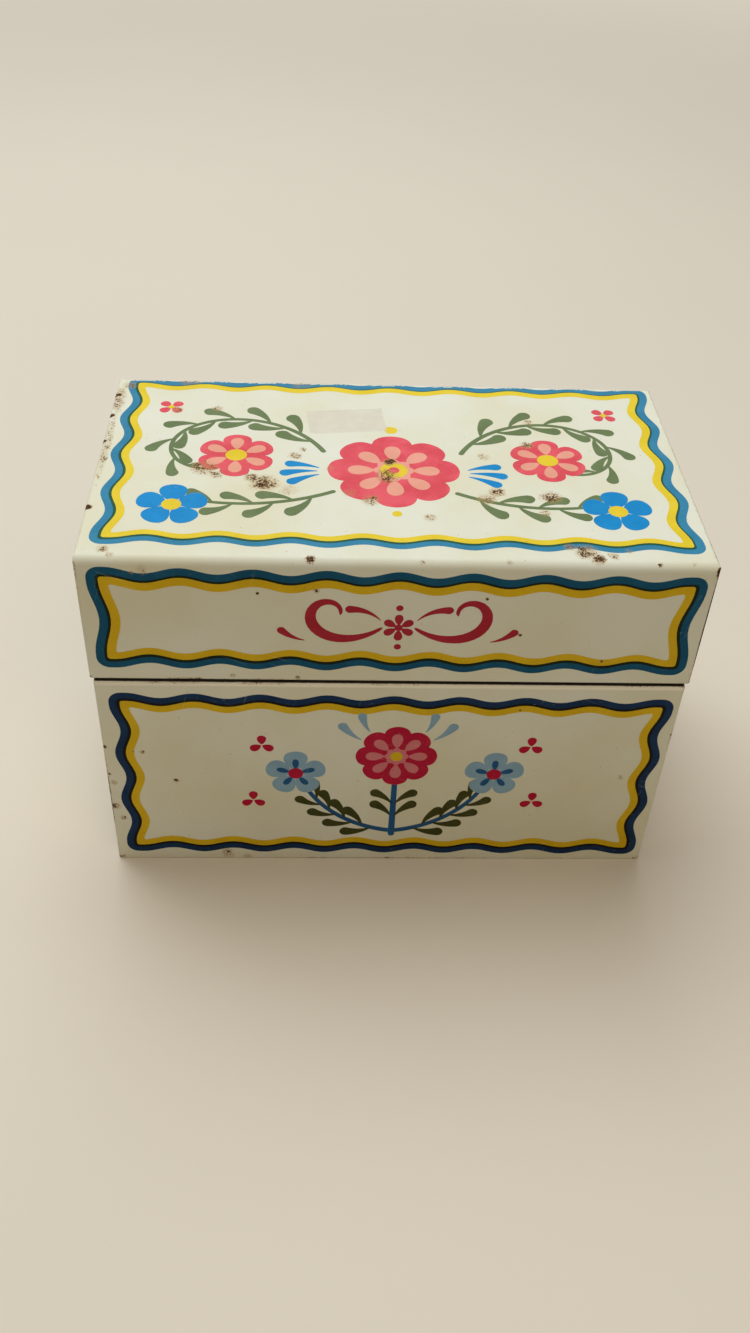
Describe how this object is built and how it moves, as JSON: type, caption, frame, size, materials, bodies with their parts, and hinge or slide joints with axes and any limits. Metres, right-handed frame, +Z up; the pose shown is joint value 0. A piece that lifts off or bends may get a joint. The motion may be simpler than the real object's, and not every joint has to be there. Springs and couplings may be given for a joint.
{
  "type": "recipe card box",
  "caption": "Hinged tinplate box with a deep lid for standing index cards, with an inner guide collar and rolled wire hinges at the back.",
  "frame": {"origin": "middle of the box's footprint, on the surface that it stands on", "axes": "+X to the right and +Z up, seen from the front; the front faces -Y and the hinges are at the back, +Y"},
  "size_m": [0.136, 0.0786, 0.095],
  "materials": {
    "printed_tin_body": "cream printed tinplate under gloss varnish, worn at the edges",
    "printed_tin_lid": "cream printed tinplate under gloss varnish, worn at the edges",
    "lacquered_tin": "plain tinplate, lightly tarnished",
    "bare_tin": "plain tinplate, satin",
    "hinge_tin": "plain tinplate, dull at the knuckles",
    "hinge_wire": "drawn steel wire, darkened"
  },
  "bodies": {
    "body": {"body_wall": "printed_tin_body", "bottom_pan": "lacquered_tin", "inner_collar": "bare_tin", "hinge_body_leaf_left": "hinge_tin", "hinge_body_leaf_right": "hinge_tin", "hinge_wire_left": "hinge_wire", "hinge_wire_right": "hinge_wire"},
    "lid": {"lid_shell": "printed_tin_lid", "hinge_lid_leaf_left": "hinge_tin", "hinge_lid_leaf_right": "hinge_tin"}
  },
  "joints": [
    {"name": "lid_hinge", "type": "hinge", "parent": "body", "child": "lid", "pos_m": [0, 0.03815, 0.06295], "axis": [-1, 0, 0], "range_deg": [0, 135]}
  ]
}
